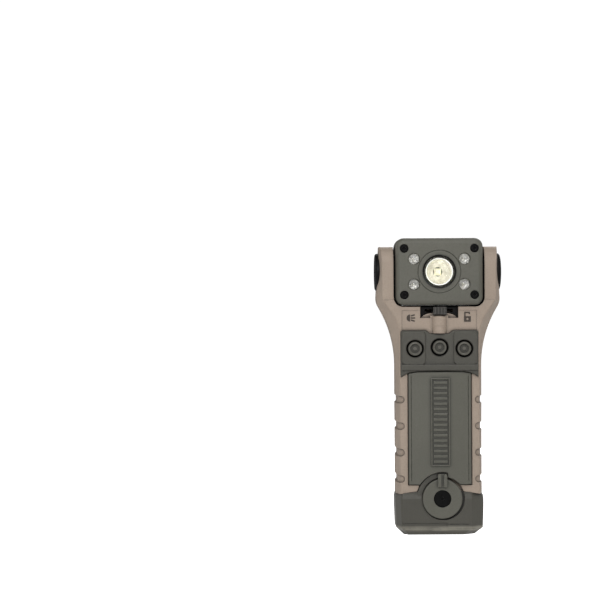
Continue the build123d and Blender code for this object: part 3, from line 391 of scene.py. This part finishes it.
def phosphor_die():
    """Chip in the middle of a signal LED's cup."""
    m = Maker("led_die")
    cloud = m.span(m.noise(1500, 2), 0.35, 0.65, 0, 1)
    tint = m.blend(cloud, (0.5, 0.46, 0.36), (0.9, 0.88, 0.8))
    gloss = m.uneven(m.noise(900, 3), 0.3, 0.5)
    return m.set(colour=tint, rough=gloss, normal=m.bump(m.noise(2000, 2), 0.00001, 0.4))


MATERIALS["mirror_cup"] = mirror_cup()
MATERIALS["ring_black"] = black_ring()
MATERIALS["clear_lens"] = clear_window()
MATERIALS["led_yellow"] = phosphor()
MATERIALS["led_clear"] = clear_epoxy()

for entry in frame["record"]["subparts"]:
    node = NODES[entry["node"]]
    node.data.materials.clear()
    node.data.materials.append(MATERIALS[entry["material_slot"]])


# ---------------------------------------------------------------- pieces made here
def lathe(form, profile, x, z, steps=56):
    """Turn a profile of (radius, y) pairs in mm round the line along Y through (x, z)."""
    rings = []
    for radius, y in profile:
        if radius == 0:
            rings.append([form.verts.new((x * MM, y * MM, z * MM))])
            continue
        ring = []
        for k in range(steps):
            angle = 2 * math.pi * k / steps
            across, up = x + radius * math.cos(angle), z + radius * math.sin(angle)
            ring.append(form.verts.new((across * MM, y * MM, up * MM)))
        rings.append(ring)
    for near, far in zip(rings, rings[1:]):
        for k in range(steps):
            n = (k + 1) % steps
            corners = []
            for ring, index in ((near, k), (near, n), (far, n), (far, k)):
                corner = ring[index % len(ring)]
                if corner not in corners:
                    corners.append(corner)
            form.faces.new(corners)


def dome(radius, y_rim, y_tip, count):
    """Quarter ellipse from the rim to the tip, as a profile for the lathe."""
    profile = []
    for k in range(count):
        angle = math.pi / 2 * k / count
        profile.append((radius * math.cos(angle), y_rim + (y_tip - y_rim) * math.sin(angle)))
    return profile + [(0, y_tip)]


def piece(name, form, material, body, slot, *stands_for):
    """Turn a bmesh into a smooth object that rides on its body."""
    bmesh.ops.recalc_face_normals(form, faces=form.faces)
    for face in form.faces:
        face.smooth = True
    mesh = bpy.data.meshes.new(name)
    form.to_mesh(mesh)
    form.free()
    made = bpy.data.objects.new(name, mesh)
    bpy.context.collection.objects.link(made)
    made.data.materials.append(material)
    if stands_for:
        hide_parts(*stands_for)
    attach(made, body)


# Signal LEDs as (radius, y) profiles in mm: flange and dome, reflecting cup, chip
DOME_PROFILE = [(0, -4.9), (2.9, -4.9), (2.9, -5.9), (2.5, -6.0), *dome(2.5, -12.2, -14.35, 14)]
CUP_PROFILE = [
    (0, -9.6), (0.75, -9.6), (1.0, -9.8), (1.9, -11.3), (2.05, -11.35), (2.05, -9.2), (0, -9.2),
]
DIE_PROFILE = [(0, -9.95), (0.3, -9.95), (0.42, -9.85), (0.42, -9.62), (0, -9.62)]

domes = bmesh.new()
cups = bmesh.new()
dies = bmesh.new()
for side in (-1, 1):
    for level in (-1, 1):
        x, z = side * SIGNAL_X, LAMP_Z + level * SIGNAL_Z
        lathe(domes, DOME_PROFILE, x, z)
        lathe(cups, CUP_PROFILE, x, z)
        lathe(dies, DIE_PROFILE, x, z, 24)

piece("signal_domes", domes, MATERIALS["led_clear"], "head", "led_clear", "signal_leds")
piece("signal_cups", cups, bright_cup(), "head", "led_clear")
piece("signal_dies", dies, phosphor_die(), "head", "led_clear")


# ---------------------------------------------------------------- stage
WHITE = (1, 1, 1, 1)
FLOOR_LIFT = 0.95       # light that only the camera sees, so the floor ends without a horizon
ROOM_LIGHT = 0.125      # light that the room sends onto the object
ROOM_SEEN = 1.05        # brightness of the room in the picture


def stage_material():
    """White floor that the camera sees as bright as the room."""
    m = Maker("studio_white")
    tone = m.blend(m.uneven(m.noise(6, 3), 0, 1), (0.9, 0.9, 0.9), (0.93, 0.93, 0.93))
    path = m.node("ShaderNodeLightPath")
    lift = m.span(path.outputs["Is Camera Ray"], 0, 1, 0.0, FLOOR_LIFT)
    gloss = m.uneven(m.noise(40, 3), 0.8, 0.9)
    normal = m.bump(m.noise(900, 2), 0.00001, 0.2)
    return m.set(colour=tone, rough=gloss, normal=normal, specular=0.1,
                 glow=(1.0, 1.0, 1.0), glow_strength=lift)


floor_mesh = bpy.data.meshes.new("floor")
form = bmesh.new()
bmesh.ops.create_grid(form, x_segments=8, y_segments=8, size=30)
form.to_mesh(floor_mesh)
form.free()
floor = bpy.data.objects.new("floor", floor_mesh)
bpy.context.collection.objects.link(floor)
floor.data.materials.append(stage_material())
# Low enough for the tail cap to slide down and stay in sight
floor.location = (0, 0, FLOOR_Z * MM)

world = bpy.data.worlds.new("studio")
bpy.context.scene.world = world
world.use_nodes = True
nodes, links = world.node_tree.nodes, world.node_tree.links
lighting = nodes["Background"]
lighting.inputs["Color"].default_value = WHITE
lighting.inputs["Strength"].default_value = ROOM_LIGHT
seen = nodes.new("ShaderNodeBackground")
seen.inputs["Color"].default_value = WHITE
seen.inputs["Strength"].default_value = ROOM_SEEN
path = nodes.new("ShaderNodeLightPath")
either = nodes.new("ShaderNodeMixShader")
links.new(path.outputs["Is Camera Ray"], either.inputs[0])
links.new(lighting.outputs[0], either.inputs[1])
links.new(seen.outputs[0], either.inputs[2])
links.new(either.outputs[0], nodes["World Output"].inputs[0])


# ---------------------------------------------------------------- lights
AIM = Vector((0, 0, 0.075))

# Name, place in metres, width and height in metres, watts
SOFTBOXES = (
    ("key", (-0.15, -1.0, 0.55), (0.5, 0.4), 7.6),
    ("top", (0.15, -0.25, 0.95), (0.5, 0.35), 2.2),
    ("right", (0.95, -0.45, 0.3), (0.3, 0.8), 1.0),
    ("left", (-0.95, -0.45, 0.3), (0.15, 0.8), 0.8),
    ("back", (0.3, 0.9, 0.7), (0.8, 0.5), 5),
    ("back_right", (0.95, 0.35, 0.3), (0.4, 0.8), 2.2),
    ("back_left", (-0.95, 0.35, 0.3), (0.4, 0.8), 2.2),
)
for name, place, size, power in SOFTBOXES:
    lamp = bpy.data.lights.new(name, "AREA")
    lamp.shape = "RECTANGLE"
    lamp.size, lamp.size_y = size
    lamp.energy = power
    stand = bpy.data.objects.new(name, lamp)
    bpy.context.collection.objects.link(stand)
    stand.location = place
    stand.rotation_mode = "QUATERNION"
    stand.rotation_quaternion = (AIM - Vector(place)).to_track_quat("-Z", "Y")


# ---------------------------------------------------------------- camera
CAMERA_PLACE = (-66.25 * MM, -770 * MM, 112.34 * MM)
CAMERA_ROLL = 0.0052
SENSOR_WIDTH, FOCAL_LENGTH = 36, 95.5

lens = bpy.data.cameras.new("camera")
lens.sensor_width = SENSOR_WIDTH
lens.lens = FOCAL_LENGTH
lens.clip_start, lens.clip_end = 0.01, 200
camera = bpy.data.objects.new("camera", lens)
bpy.context.collection.objects.link(camera)
camera.location = CAMERA_PLACE
camera.rotation_euler = (math.pi / 2, CAMERA_ROLL, 0)
bpy.context.scene.camera = camera
bpy.context.scene.view_settings.view_transform = "Standard"
